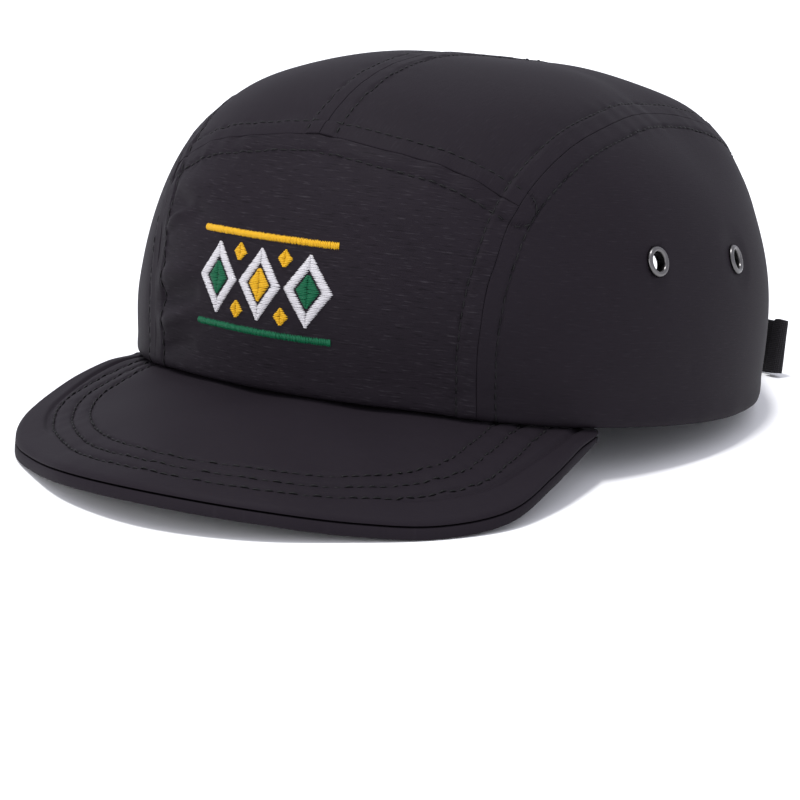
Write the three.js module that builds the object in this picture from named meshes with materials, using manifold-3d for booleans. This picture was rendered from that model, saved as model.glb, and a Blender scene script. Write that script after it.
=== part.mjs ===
// Five panel cap: a soft camp cap of thin nylon, worn with its flat peak forward.
// Millimetres, +Z up, the peak points to -Y, and +X is the wearer's left.
// The cap is drawn in its own frame, with the rim in the plane z = 0, and is then tipped
// back until its peak and the rear corners of its rim rest on the ground together.

import * as THREE from 'three';
import Module from 'manifold-3d';
import { mergeVertices } from 'three/addons/utils/BufferGeometryUtils.js';

const wasm = await Module();
wasm.setup();

const DEGREE = Math.PI / 180;

// Crown sizes
const rimWidth = 167.6;
const rimLength = 200;
const crownHeight = 87;
const clothWall = 1.5;
const seamGap = 0.3;
const topShift = 3.4;
const squareness = { side: 2.46, front: 2.5, back: 3.9 };
const fullness = { front: 0.2, back: 0.056 };

// Half-moon opening at the back
const openingWidth = 90;
const openingHeight = 52;

// Peak sizes: its outline is measured from a centre ahead of the crown's middle
const peakCentre = 55;
const peakReach = 101.8;
const peakDrop = 22.8;
const peakUpperWall = 2.3;
const peakUnderWall = 1.9;
const peakTuck = 1.4;
const peakRootBack = 57.5;
const peakBend = 1.25;

// Inside band
const bandHeight = 30;
const bandWall = 1.0;
const bandLift = 0.8;
const fitGap = 0.3;

// Back strap, tab and slider
const webbingWidth = 16;
const webbingWall = 1.2;
const tabWall = 1.0;
const webbingLift = 5;
const anchorLength = 11;
const anchorEase = 0.5;
const barPitch = 11;
const barWidth = 2.2;
const barWall = 2;
const railWidth = 2;
const sliderFromEdge = 6;
const tailLength = 33.5;
const tailStand = 1.5;

// Eyelets
const eyeletDiameter = 8;
const eyeletBore = 4.4;
const eyeletBarrel = 5.4;
const eyeletHeight = 40;
const eyeletFlange = 0.7;
const eyeletGap = 0.45;
const eyeletTurns = { front: -29.5, rear: 0.5 };

// Seam between a side panel and the rest of the crown, from the rim at the front to the
// opening at the back: degrees round from the left ear, and height as a share of the crown
const sideSeam = [
  { turn: -61, height: 0 },
  { turn: -61.9, height: 0.203 },
  { turn: -61, height: 0.397 },
  { turn: -57.4, height: 0.59 },
  { turn: -47, height: 0.753 },
  { turn: -26.6, height: 0.842 },
  { turn: -5.8, height: 0.869 },
  { turn: 15.4, height: 0.872 },
  { turn: 33.4, height: 0.852 },
  { turn: 46.5, height: 0.805 },
  { turn: 55.4, height: 0.698 },
  { turn: 62, height: 0.55 },
];
const junctionRow = 3;
const seamFoot = 0.44;

// Seam between the front panel and the two top panels, from the middle to a side panel
const browSeam = [
  { turn: -90, height: 0.733 },
  { turn: -79, height: 0.71 },
  { turn: -68, height: 0.675 },
  { turn: -57.4, height: 0.59 },
];

// Peak outline, from the middle to one end: degrees from straight ahead, distance from the
// peak's centre as a share of its reach, drop below the rim as a share of the peak's drop
const peakOutline = [
  { bearing: 0, reach: 1.012, drop: 0.915 },
  { bearing: 14, reach: 0.984, drop: 0.95 },
  { bearing: 28, reach: 0.93, drop: 1.01 },
  { bearing: 40, reach: 0.903, drop: 1 },
  { bearing: 52, reach: 0.86, drop: 0.86 },
  { bearing: 64, reach: 0.776, drop: 0.575 },
  { bearing: 76, reach: 0.71, drop: 0.345 },
  { bearing: 86, reach: 0.68, drop: 0.225 },
];

// Numbers of mesh steps along the shared seams
const stepsUp = 10;
const stepsOver = 20;
const stepsAcross = 8;
const stepsPeakRound = 36;
const stepsPeakOut = 7;
const stepsBand = 48;
const stepsBandUp = 4;
const stepsStrap = 60;
const stepsTab = 28;
const stepsEyelet = 16;

const halfWidth = rimWidth / 2;
const halfLength = rimLength / 2;

// Crown surface

function rimRadius(turn) {
  return 1 / Math.hypot(Math.cos(turn) / halfWidth, Math.sin(turn) / halfLength);
}

function boxiness(turn) {
  const along = Math.sin(turn);
  const end = along < 0 ? squareness.front : squareness.back;
  return squareness.side + (end - squareness.side) * along * along;
}

function swell(turn) {
  const along = Math.sin(turn);
  return (along < 0 ? fullness.front : fullness.back) * along * along;
}

// The direction, from the middle of the rim, whose surface point has this height
function towards(turn, height) {
  const n = boxiness(turn);
  const share = height / crownHeight;
  const out = Math.pow(1 - Math.pow(share, n), 1 / n);
  return new THREE.Vector3(out * Math.cos(turn), out * Math.sin(turn), share).normalize();
}

// The crown's outer face in a direction: a rounded box profile over an oval rim
function crownPoint(direction) {
  const turn = Math.atan2(direction.y, direction.x);
  const n = boxiness(turn);
  const out = Math.hypot(direction.x, direction.y);
  const up = Math.max(direction.z, 0);
  const size = Math.pow(Math.pow(out, n) + Math.pow(up, n), 1 / n);
  const share = up / size;
  const radius = rimRadius(turn) * (out / size) * (1 + swell(turn) * share);
  return new THREE.Vector3(
    radius * Math.cos(turn),
    radius * Math.sin(turn) - topShift * share * share,
    crownHeight * share,
  );
}

// The way out of the crown's outer face, from small steps round and up it
function crownNormal(direction) {
  const step = 0.01;
  const pole = Math.abs(direction.z) < 0.9 ? new THREE.Vector3(0, 0, 1) : new THREE.Vector3(0, 1, 0);
  const round = pole.clone().cross(direction).normalize();
  const rise = direction.clone().cross(round).normalize();
  const shifted = (way, by) => crownPoint(direction.clone().addScaledVector(way, by).normalize());
  const low = direction.z < step ? 0 : -step;
  const roundStep = shifted(round, step).sub(shifted(round, -step));
  const riseStep = shifted(rise, step).sub(shifted(rise, low));
  return roundStep.cross(riseStep).normalize();
}

// Meshes

function solid(positions, triangles) {
  const geometry = new THREE.BufferGeometry();
  geometry.setAttribute('position', new THREE.Float32BufferAttribute(positions, 3));
  geometry.setIndex(triangles);
  geometry.computeVertexNormals();
  return geometry;
}

// A closed sheet: faceAt(u, v) gives the outer point and the point across the wall from it.
// Seen from outside, u runs to the right and v up, or in a mirrored sheet u runs to the left.
// The inset draws its four edges in, so that sewn neighbours keep their seam gap.
function sheet(faceAt, stepsU, stepsV, inset = 0, mirrored = false) {
  const outer = [];
  const inner = [];
  for (let j = 0; j <= stepsV; j += 1) {
    for (let i = 0; i <= stepsU; i += 1) {
      const [top, bottom] = faceAt(i / stepsU, j / stepsV);
      outer.push(top);
      inner.push(bottom);
    }
  }
  const row = stepsU + 1;
  const inwards = (k, last) => (k === 0 ? 1 : k === last ? -1 : 0);
  for (const face of [outer, inner]) {
    const before = face.map((point) => point.clone());
    before.forEach((point, index) => {
      const i = index % row;
      const j = Math.floor(index / row);
      const di = inwards(i, stepsU);
      const dj = inwards(j, stepsV);
      if (di === 0 && dj === 0) return;
      const move = before[index + di + dj * row].clone().sub(point);
      const reach = di !== 0 && dj !== 0 ? inset * Math.SQRT2 : inset;
      face[index].addScaledVector(move.normalize(), reach);
    });
  }
  const count = outer.length;
  const triangles = [];
  const quad = (a, b, c, d) => {
    if (mirrored) triangles.push(a, c, b, a, d, c);
    else triangles.push(a, b, c, a, c, d);
  };
  for (let j = 0; j < stepsV; j += 1) {
    for (let i = 0; i < stepsU; i += 1) {
      const a = j * row + i;
      quad(a, a + 1, a + row + 1, a + row);
      quad(count + a, count + a + row, count + a + row + 1, count + a + 1);
    }
  }
  const border = [];
  for (let i = 0; i < stepsU; i += 1) border.push(i);
  for (let j = 0; j < stepsV; j += 1) border.push(j * row + stepsU);
  for (let i = stepsU; i > 0; i -= 1) border.push(stepsV * row + i);
  for (let j = stepsV; j > 0; j -= 1) border.push(j * row);
  border.forEach((a, k) => {
    const b = border[(k + 1) % border.length];
    quad(a, count + a, count + b, b);
  });
  return solid([...outer, ...inner].flatMap((point) => [point.x, point.y, point.z]), triangles);
}

// A surface of directions between four edges, each a function of 0 to 1
function between(low, high, start, end) {
  return (u, v) => {
    const blend = new THREE.Vector3()
      .addScaledVector(low(u), 1 - v)
      .addScaledVector(high(u), v)
      .addScaledVector(start(v), 1 - u)
      .addScaledVector(end(v), u)
      .addScaledVector(low(0), -(1 - u) * (1 - v))
      .addScaledVector(low(1), -u * (1 - v))
      .addScaledVector(high(0), -(1 - u) * v)
      .addScaledVector(high(1), -u * v);
    return blend.normalize();
  };
}

function clothPanel(directionAt, stepsU, stepsV, mirrored) {
  const faceAt = (u, v) => {
    const direction = directionAt(u, v);
    const point = crownPoint(direction);
    return [point, point.clone().addScaledVector(crownNormal(direction), -clothWall)];
  };
  return sheet(faceAt, stepsU, stepsV, seamGap / 2, mirrored);
}

// Seams as curves of directions

function seamDirections(rows) {
  return rows.map((row) => towards(row.turn * DEGREE, row.height * crownHeight));
}

const openingEdge = Math.acos(openingWidth / rimWidth);
const openingTurn = Math.atan2(halfLength * Math.sin(openingEdge), halfWidth * Math.cos(openingEdge));

function archTurn(angle) {
  return Math.PI / 2 - (Math.PI / 2 - openingTurn) * Math.cos(angle);
}

// The opening's arch, from the rim at 0 to its top at 1
function archPoint(share) {
  const angle = share * Math.PI / 2;
  return towards(archTurn(angle), openingHeight * Math.sin(angle));
}

const sideCurve = new THREE.CatmullRomCurve3([...seamDirections(sideSeam), archPoint(seamFoot)]);
const browCurve = new THREE.CatmullRomCurve3(seamDirections(browSeam));
const junction = junctionRow / sideSeam.length;
const seamStart = sideSeam[0].turn * DEGREE;
const mirror = (curve) => (share) => curve(share).clone().multiply(new THREE.Vector3(-1, 1, 1));

const sideFront = (share) => sideCurve.getPoint(junction * share).normalize();
const sideTop = (share) => sideCurve.getPoint(junction + (1 - junction) * share).normalize();
const rimSide = (share) => towards(seamStart + (openingTurn - seamStart) * share, 0);
const rimFront = (share) => towards(-Math.PI - seamStart + (Math.PI + 2 * seamStart) * share, 0);
const archSide = (share) => archPoint(seamFoot * share);
const archTop = (share) => archPoint(seamFoot + (1 - seamFoot) * share);
const browHalf = (share) => browCurve.getPoint(1 - share).normalize();
const browWhole = (share) => (share < 0.5 ? mirror(browHalf)(2 * share) : browHalf(2 - 2 * share));
const crestStart = Math.asin(browHalf(1).z);
const crestEnd = Math.PI - Math.asin(archTop(1).z);
const crest = (share) => {
  const angle = crestStart + (crestEnd - crestStart) * share;
  return new THREE.Vector3(0, -Math.cos(angle), Math.sin(angle));
};

const frontPatch = between(rimFront, browWhole, mirror(sideFront), sideFront);
const sidePatch = between(rimSide, sideTop, sideFront, archSide);
const topPatch = between(sideTop, crest, browHalf, archTop);
const mirrorPatch = (patch) => (u, v) => patch(u, v).multiply(new THREE.Vector3(-1, 1, 1));

// Booleans

function toManifold(geometry) {
  const bare = geometry.clone();
  for (const name of ['normal', 'uv']) bare.deleteAttribute(name);
  const merged = mergeVertices(bare, 1e-4);
  return new wasm.Manifold(new wasm.Mesh({
    numProp: 3,
    vertProperties: new Float32Array(merged.attributes.position.array),
    triVerts: new Uint32Array(merged.index.array),
  }));
}

function fromManifold(body) {
  const mesh = body.getMesh();
  return solid(Array.from(mesh.vertProperties), Array.from(mesh.triVerts));
}

// Eyelets

function eyeletPlace(turn) {
  const direction = towards(turn, eyeletHeight);
  return { point: crownPoint(direction), normal: crownNormal(direction) };
}

function eyeletHole(turn) {
  const { point, normal } = eyeletPlace(turn);
  const radius = eyeletBarrel / 2 + eyeletGap;
  const hole = new THREE.CylinderGeometry(radius, radius, 6 * clothWall, stepsEyelet);
  const up = new THREE.Vector3(0, 1, 0);
  hole.applyQuaternion(new THREE.Quaternion().setFromUnitVectors(up, normal));
  hole.translate(point.x, point.y, point.z);
  return hole;
}

// A spool of metal: an outer flange, a barrel through the cloth and an inner flange
function eyelet(turn) {
  const outside = eyeletGap;
  const inside = -clothWall - eyeletGap;
  const profile = [
    [eyeletBore / 2, inside - eyeletFlange],
    [eyeletDiameter / 2, inside - eyeletFlange],
    [eyeletDiameter / 2, inside],
    [eyeletBarrel / 2, inside],
    [eyeletBarrel / 2, outside],
    [eyeletDiameter / 2, outside],
    [eyeletDiameter / 2 - eyeletFlange / 2, outside + eyeletFlange],
    [eyeletBore / 2 + eyeletFlange / 2, outside + eyeletFlange],
    [eyeletBore / 2, outside],
    [eyeletBore / 2, inside - eyeletFlange],
  ];
  const ring = new THREE.LatheGeometry(profile.map(([x, y]) => new THREE.Vector2(x, y)), stepsEyelet);
  const { point, normal } = eyeletPlace(turn);
  ring.applyQuaternion(new THREE.Quaternion().setFromUnitVectors(new THREE.Vector3(0, 1, 0), normal));
  ring.translate(point.x, point.y, point.z);
  return ring;
}

function pierced(geometry, turns) {
  let body = toManifold(geometry);
  for (const turn of turns) body = body.subtract(toManifold(eyeletHole(turn)));
  return fromManifold(body);
}

// Peak

const ovalAngle = (y) => Math.asin(y / halfLength);
const rootEnd = ovalAngle(-peakRootBack);
const otherSide = peakOutline.slice(1).reverse().map((row) => ({ ...row, bearing: -row.bearing }));
const outlineRows = [...otherSide, ...peakOutline];
const peakEdge = new THREE.CatmullRomCurve3(outlineRows.map((row) => new THREE.Vector3(
  row.reach * peakReach * Math.sin(row.bearing * DEGREE),
  -peakCentre - row.reach * peakReach * Math.cos(row.bearing * DEGREE),
  -row.drop * peakDrop,
)));

// The face where the peak's two cloths meet, from its root at v = 0 to its edge at v = 1
function peakMiddle(u, v) {
  const angle = -Math.PI - rootEnd + (Math.PI + 2 * rootEnd) * u;
  const edge = peakEdge.getPointAt(u);
  const root = new THREE.Vector3(
    (halfWidth - peakTuck) * Math.cos(angle),
    (halfLength - peakTuck) * Math.sin(angle),
    -fitGap - peakUpperWall,
  );
  const point = root.clone().lerp(edge, v);
  point.z = root.z + (edge.z + peakUnderWall + fitGap - root.z) * Math.pow(v, peakBend);
  return point;
}

const raised = (point, height) => point.clone().setZ(point.z + height);

function peakUpper() {
  const faceAt = (u, v) => {
    const point = peakMiddle(u, 1 - v);
    return [raised(point, peakUpperWall), point];
  };
  return sheet(faceAt, stepsPeakRound, stepsPeakOut);
}

function peakUnder() {
  const faceAt = (u, v) => {
    const point = peakMiddle(u, 1 - v);
    return [raised(point, -fitGap), raised(point, -fitGap - peakUnderWall)];
  };
  return sheet(faceAt, stepsPeakRound, stepsPeakOut);
}

// Inside band, from one side of the opening round the front to the other

const anchorAngle = anchorLength / rimRadius(openingTurn);

function insideBand() {
  const end = openingTurn - anchorAngle;
  const faceAt = (u, v) => {
    const turn = -Math.PI - end + (Math.PI + 2 * end) * u;
    const direction = towards(turn, bandLift + bandHeight * v);
    const point = crownPoint(direction);
    const normal = crownNormal(direction);
    const depth = clothWall + fitGap;
    return [
      point.clone().addScaledVector(normal, -depth),
      point.clone().addScaledVector(normal, -depth - bandWall),
    ];
  };
  return sheet(faceAt, stepsBand, stepsBandUp);
}

// Back strap: strips of webbing that stand upright, drawn as paths seen from above

const webbingMiddle = webbingLift + webbingWidth / 2;

// A point beside the rim: its turn, and how far it stands outside the crown
function besideRim(turn, stand) {
  const direction = towards(turn, webbingMiddle);
  const point = crownPoint(direction).setZ(0);
  return point.addScaledVector(crownNormal(direction).setZ(0).normalize(), stand);
}

// Where the arch's edge stands at the top of the webbing
const webbingTurn = archTurn(Math.asin((webbingLift + webbingWidth) / openingHeight));
const sliderTurn = webbingTurn + (sliderFromEdge + barPitch + barWidth / 2) / rimRadius(openingTurn);
const sliderMiddle = besideRim(sliderTurn, 0);
const sliderOut = besideRim(sliderTurn, 1).sub(sliderMiddle).normalize();
const sliderRight = new THREE.Vector3(0, 0, 1).cross(sliderOut).normalize();

// A point beside the slider: how far towards the wearer's left, and how far outside it
function besideSlider(left, out) {
  return sliderMiddle.clone().addScaledVector(sliderRight, -left).addScaledVector(sliderOut, out);
}

function webbingStrip(points, wall, steps) {
  const path = new THREE.CatmullRomCurve3(points, false, 'centripetal');
  const faceAt = (u, v) => {
    const point = path.getPointAt(u).setZ(webbingLift + webbingWidth * v);
    const along = path.getTangentAt(u);
    const out = new THREE.Vector3(-along.y, along.x, 0).normalize();
    return [
      point.clone().addScaledVector(out, wall / 2),
      point.clone().addScaledVector(out, -wall / 2),
    ];
  };
  return sheet(faceAt, steps, 2, 0, true);
}

const anchorStand = -(clothWall + fitGap + webbingWall / 2 + anchorEase);
const passStand = barWall / 2 + fitGap + webbingWall / 2 + anchorEase;
const loopRadius = Math.hypot(barWall, barWidth) / 2 + fitGap + tabWall / 2;
const overTab = loopRadius + tabWall / 2 + fitGap + webbingWall / 2;

function strap() {
  const rightEdge = Math.PI - webbingTurn;
  const beside = barWidth / 2 + fitGap;
  return webbingStrip([
    besideRim(Math.PI - openingTurn + anchorAngle, anchorStand),
    besideRim(Math.PI - openingTurn, anchorStand),
    besideRim(rightEdge, anchorStand),
    besideRim(rightEdge - 0.6 * anchorAngle, anchorStand / 2),
    besideRim((rightEdge + Math.PI / 2) / 2, 0),
    besideSlider(-barPitch - 3 * beside, passStand * 0.9),
    besideSlider(-barPitch - beside, passStand),
    besideSlider(-barPitch + beside, passStand),
    besideSlider(-beside, -passStand),
    besideSlider(beside, -passStand),
    besideSlider(barPitch - beside, overTab),
    besideSlider(barPitch + beside, overTab),
    besideSlider(barPitch + tailLength / 2, overTab + tailStand),
    besideSlider(barPitch + tailLength, overTab + tailStand),
  ], webbingWall, stepsStrap);
}

function strapTab() {
  const innerStand = anchorStand - tabWall - fitGap;
  return webbingStrip([
    besideRim(openingTurn - anchorAngle, anchorStand),
    besideRim(openingTurn, anchorStand),
    besideRim(webbingTurn, anchorStand),
    besideSlider(barPitch + loopRadius, 0.75 * loopRadius),
    besideSlider(barPitch, 1.05 * loopRadius),
    besideSlider(barPitch - 0.8 * loopRadius, 0.7 * loopRadius),
    besideSlider(barPitch - 1.1 * loopRadius, 0),
    besideSlider(barPitch - 0.8 * loopRadius, -0.7 * loopRadius),
    besideSlider(barPitch, -loopRadius),
    besideRim(webbingTurn, innerStand),
    besideRim(openingTurn, innerStand),
    besideRim(openingTurn - anchorAngle, innerStand),
  ], tabWall, stepsTab);
}

function slider() {
  const tall = webbingWidth + 2 * fitGap;
  const wide = barPitch - barWidth;
  let plate = toManifold(new THREE.BoxGeometry(2 * barPitch + barWidth, tall + 2 * railWidth, barWall));
  for (const way of [-1, 1]) {
    const window = new THREE.BoxGeometry(wide, tall, 3 * barWall).translate(way * barPitch / 2, 0, 0);
    plate = plate.subtract(toManifold(window));
  }
  const place = new THREE.Matrix4().makeBasis(sliderRight, new THREE.Vector3(0, 0, 1), sliderOut);
  place.setPosition(sliderMiddle.clone().setZ(webbingMiddle));
  return fromManifold(plate).applyMatrix4(place);
}

// Materials

const cloth = { color: 0x2d2a2e, roughness: 0.72, metalness: 0 };
const lining = { color: 0x232125, roughness: 0.85, metalness: 0 };
const webbing = { color: 0x1d1c1f, roughness: 0.8, metalness: 0 };
const metal = { color: 0x8c8c90, roughness: 0.35, metalness: 1 };
const plastic = { color: 0x151517, roughness: 0.4, metalness: 0 };

// Assembly

const cap = new THREE.Group();

function add(name, geometry, finish) {
  const mesh = new THREE.Mesh(geometry, new THREE.MeshStandardMaterial(finish));
  mesh.name = name;
  cap.add(mesh);
  return mesh;
}

const mirrorTurn = (turn) => Math.PI - turn;
const leftTurns = Object.values(eyeletTurns).map((turn) => turn * DEGREE);
const sideLeft = clothPanel(sidePatch, stepsOver, stepsUp, false);
const sideRight = clothPanel(mirrorPatch(sidePatch), stepsOver, stepsUp, true);

add('front_panel', clothPanel(frontPatch, 2 * stepsAcross, stepsUp, false), cloth);
add('side_panel_left', pierced(sideLeft, leftTurns), cloth);
add('side_panel_right', pierced(sideRight, leftTurns.map(mirrorTurn)), cloth);
add('top_panel_left', clothPanel(topPatch, stepsOver, stepsAcross, false), cloth);
add('top_panel_right', clothPanel(mirrorPatch(topPatch), stepsOver, stepsAcross, true), cloth);
add('peak_upper', peakUpper(), cloth);
const underPeak = add('peak_under', peakUnder(), cloth);
add('sweatband', insideBand(), lining);
add('strap', strap(), webbing);
add('strap_tab', strapTab(), webbing);
add('slider', slider(), plastic);
for (const [place, turn] of Object.entries(eyeletTurns)) {
  add(`eyelet_left_${place}`, eyelet(turn * DEGREE), metal);
  add(`eyelet_right_${place}`, eyelet(mirrorTurn(turn * DEGREE)), metal);
}

// Rest: tip the cap back about the rear corners of its rim until the peak meets the ground

function pointsOf(mesh) {
  const position = mesh.geometry.attributes.position;
  const pointAt = (_, index) => new THREE.Vector3().fromBufferAttribute(position, index);
  return Array.from({ length: position.count }, pointAt);
}

const rearCorner = crownPoint(towards(openingTurn, 0));
const tiltTo = (point) => Math.atan2(-point.z, rearCorner.y - point.y);
const restTilt = Math.max(...pointsOf(underPeak).map(tiltTo));
cap.rotation.x = -restTilt;
cap.updateMatrixWorld(true);
const box = new THREE.Box3().setFromObject(cap, true);
const middle = box.getCenter(new THREE.Vector3());
cap.position.set(-middle.x, -middle.y, -box.min.z);

export default cap;
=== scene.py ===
import math

import bmesh
import bpy
import numpy as np
from mathutils import Matrix


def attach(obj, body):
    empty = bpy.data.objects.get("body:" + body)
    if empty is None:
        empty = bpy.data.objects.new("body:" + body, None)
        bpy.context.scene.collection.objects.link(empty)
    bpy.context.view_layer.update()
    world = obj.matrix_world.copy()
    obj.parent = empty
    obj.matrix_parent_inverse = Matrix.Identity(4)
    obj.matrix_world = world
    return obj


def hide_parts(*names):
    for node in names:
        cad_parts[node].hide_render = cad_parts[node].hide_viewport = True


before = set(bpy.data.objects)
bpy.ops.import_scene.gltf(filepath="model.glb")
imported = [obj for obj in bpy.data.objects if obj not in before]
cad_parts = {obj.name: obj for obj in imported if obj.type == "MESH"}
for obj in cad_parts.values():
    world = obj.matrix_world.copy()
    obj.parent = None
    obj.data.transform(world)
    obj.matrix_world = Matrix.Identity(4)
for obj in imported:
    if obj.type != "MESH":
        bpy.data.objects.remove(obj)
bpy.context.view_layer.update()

scene = bpy.context.scene

# View
# The cap is seen from its left front and a little above, through a long lens held at a slight
# turn. The camera looks at a point low inside the crown.

view_turn = math.radians(27.069)
view_rise = math.radians(13.799)
view_roll = math.radians(2.841)
view_distance = 0.65012
view_target = np.array([-0.001516, -0.003901, 0.004588])

view_back = np.array([
    math.sin(view_turn) * math.cos(view_rise),
    -math.cos(view_turn) * math.cos(view_rise),
    math.sin(view_rise),
])
level_right = np.array([math.cos(view_turn), math.sin(view_turn), 0.0])
level_up = np.cross(view_back, level_right)
picture_right = math.cos(view_roll) * level_right + math.sin(view_roll) * level_up
picture_up = math.cos(view_roll) * level_up - math.sin(view_roll) * level_right
view_point = view_target + view_distance * view_back

lens = bpy.data.cameras.new("view")
lens.lens = 107.19
lens.sensor_width = 36.0
lens.clip_start = 0.01
camera = bpy.data.objects.new("view", lens)
camera.matrix_world = Matrix(np.vstack([
    np.column_stack([picture_right, picture_up, view_back, view_point]),
    [0.0, 0.0, 0.0, 1.0],
]).tolist())
scene.collection.objects.link(camera)
scene.camera = camera

# Front panel
# One piece of thin nylon across the forehead, from the rim up to the two top panels. Its
# edges are turned in and stitched down beside each seam, and its rim is folded under.
# Lengths are millimetres in the cap's own frame, rim level and peak to -y, until placed().

rest_tilt = math.radians(6.201)
rest_place = np.array([0.0, 26.834, 9.112])
rim_half_width, rim_half_length, crown_height = 83.8, 100.0, 87.0
side_square, front_square, back_square = 2.46, 2.5, 3.9
front_full, back_full = 0.2, 0.056
top_shift = 3.4
cloth_wall = 1.5
hang_front, hang_more, hang_reach = 0.4, 1.8, 25.0


def placed(points):
    """Turns points of the cap's own frame back by the rest tilt, moves them to where the cap
    rests, and gives metres."""
    x, y, z = np.moveaxis(np.asarray(points, float), -1, 0)
    back = y * math.cos(rest_tilt) + z * math.sin(rest_tilt)
    up = z * math.cos(rest_tilt) - y * math.sin(rest_tilt)
    return (np.stack([x, back, up], -1) + rest_place) * 0.001


def unit(vectors):
    """Each vector divided by its own length."""
    return vectors / np.maximum(np.linalg.norm(vectors, axis=-1, keepdims=True), 1e-12)


def rim_radius(turn):
    """Radius of the rim's oval at a turn: one over the length of (cos / half width,
    sin / half length)."""
    return 1 / np.hypot(np.cos(turn) / rim_half_width, np.sin(turn) / rim_half_length)


def squareness(turn):
    """Power of the crown's rounded profile: the side's, moved towards the front's or back's by
    the square of the turn's sine."""
    along = np.sin(turn)
    return side_square + (np.where(along < 0, front_square, back_square) - side_square) * along**2


def towards(turn, height):
    """Direction from the rim's middle to the crown at a turn and a height: the height's share s
    of the crown stands at (1 - s^n)^(1/n) of the radius."""
    n = squareness(turn)
    share = np.clip(height / crown_height, 0, 0.9999)
    out = (1 - share**n) ** (1 / n)
    return unit(np.stack([out * np.cos(turn), out * np.sin(turn), share], -1))


def rim_hang(turn):
    """How far the soft rim hangs below its oval, by the angle from the front: a little at the
    front, more from 15 to 45 degrees, and less again from 75 until nothing at 145."""
    aside = np.abs((np.degrees(turn) + 270) % 360 - 180)
    hang = hang_front + hang_more * smooth_step((aside - 15) / 30)
    return hang * smooth_step((145 - aside) / 70)


def crown(way):
    """Outer face of the crown in a direction: a rounded box profile over the oval rim, swelled
    with height at front and back and moved forward by the square of its height's share. Its
    lowest 25 mm hang with the rim, by the square of the depth."""
    turn = np.arctan2(way[..., 1], way[..., 0])
    along = np.sin(turn)
    n = squareness(turn)
    out = np.hypot(way[..., 0], way[..., 1])
    up = np.maximum(way[..., 2], 0)
    size = (out**n + up**n) ** (1 / n)
    share = up / size
    swell = np.where(along < 0, front_full, back_full) * along**2
    radius = rim_radius(turn) * (out / size) * (1 + swell * share)
    height = crown_height * share
    height = height - rim_hang(turn) * np.maximum(1 - height / hang_reach, 0) ** 2
    return np.stack([
        radius * np.cos(turn),
        radius * np.sin(turn) - top_shift * share**2,
        height,
    ], -1)


def through(rows, share):
    """Smooth curve through rows of points (centripetal Catmull-Rom): on each span a cubic whose
    end slopes weigh the neighbouring chords by the roots of their lengths."""
    rows = np.asarray(rows, float)
    rows = np.vstack([2 * rows[0] - rows[1], rows, 2 * rows[-1] - rows[-2]])
    spans = len(rows) - 3
    at = np.clip(np.asarray(share, float) * spans, 0, spans - 1e-9)
    k = at.astype(int)
    t = (at - k)[..., None]
    a, b, c, d = (rows[k + i] for i in range(4))
    before, here, after = (
        np.sqrt(np.maximum(np.linalg.norm(q - p, axis=-1, keepdims=True), 1e-9))
        for p, q in ((a, b), (b, c), (c, d))
    )
    start = ((b - a) / before - (c - a) / (before + here) + (c - b) / here) * here
    end = ((c - b) / here - (d - b) / (here + after) + (d - c) / after) * here
    square = 3 * (c - b) - 2 * start - end
    cube = 2 * (b - c) + start + end
    return b + start * t + square * t**2 + cube * t**3


def between(low, high, start, end):
    """Directions that fill the space between four edge curves: the two lofts between facing
    edges, less the loft between the corners."""
    def patch(u, v):
        across, up = u[:, None, None], v[None, :, None]
        lows, highs = low(u)[:, None], high(u)[:, None]
        starts, ends = start(v)[None], end(v)[None]
        corners = (
            lows[:1] * (1 - across) * (1 - up) + lows[-1:] * across * (1 - up)
            + highs[:1] * (1 - across) * up + highs[-1:] * across * up
        )
        lofts = lows * (1 - up) + highs * up + starts * (1 - across) + ends * across
        return unit(lofts - corners)
    return patch


def mirrored(curve):
    """The same curve or patch on the wearer's other side."""
    return lambda *shares: curve(*shares) * np.array([-1.0, 1.0, 1.0])


side_seam_rows = np.array([
    (-61, 0), (-61.9, 0.203), (-61, 0.397), (-57.4, 0.59), (-47, 0.753), (-26.6, 0.842),
    (-5.8, 0.869), (15.4, 0.872), (33.4, 0.852), (46.5, 0.805), (55.4, 0.698), (62, 0.55),
])
brow_seam_rows = np.array([(-90, 0.733), (-79, 0.71), (-68, 0.675), (-57.4, 0.59)])
opening_width, opening_height = 90.0, 52.0
opening_share = 0.44
opening_angle = math.acos(opening_width / (2 * rim_half_width))
opening_turn = math.atan2(
    rim_half_length * math.sin(opening_angle), rim_half_width * math.cos(opening_angle))


def arch_turn(angle):
    """Turn of the opening's arch: from its corner at 0 to the middle of the back at 90 degrees."""
    return math.pi / 2 - (math.pi / 2 - opening_turn) * np.cos(angle)


def arch(share):
    """The opening's arch, a half ellipse in turn and height, from the rim to its top."""
    angle = share * math.pi / 2
    return towards(arch_turn(angle), opening_height * np.sin(angle))


def seam(rows, *last):
    """A seam through rows of turn, in degrees, and height, as a share of the crown, and on
    through any last directions."""
    ways = towards(np.radians(rows[:, 0]), rows[:, 1] * crown_height)
    ways = np.vstack([ways, *last])
    return lambda share: unit(through(ways, share))


side_seam = seam(side_seam_rows, arch(np.array([opening_share])))
brow_seam = seam(brow_seam_rows)
junction = 3 / 12
seam_turn = math.radians(side_seam_rows[0, 0])


def rim(turn):
    """The rim, level with the ground of the cap's own frame."""
    return towards(turn, np.zeros_like(turn))


def portion(curve, start, end):
    """The part of a curve between two of its shares, as a curve of its own."""
    return lambda share: curve(start + (end - start) * share)


side_front = portion(side_seam, 0, junction)
rim_front = portion(rim, -math.pi - seam_turn, seam_turn)
brow_half = portion(brow_seam, 1, 0)


def brow_whole(share):
    """Seam over the forehead, from the right side seam to the left one."""
    ways = brow_half(1 - np.abs(2 * share - 1))
    ways[:, 0] *= np.where(share < 0.5, -1.0, 1.0)
    return ways


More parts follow.
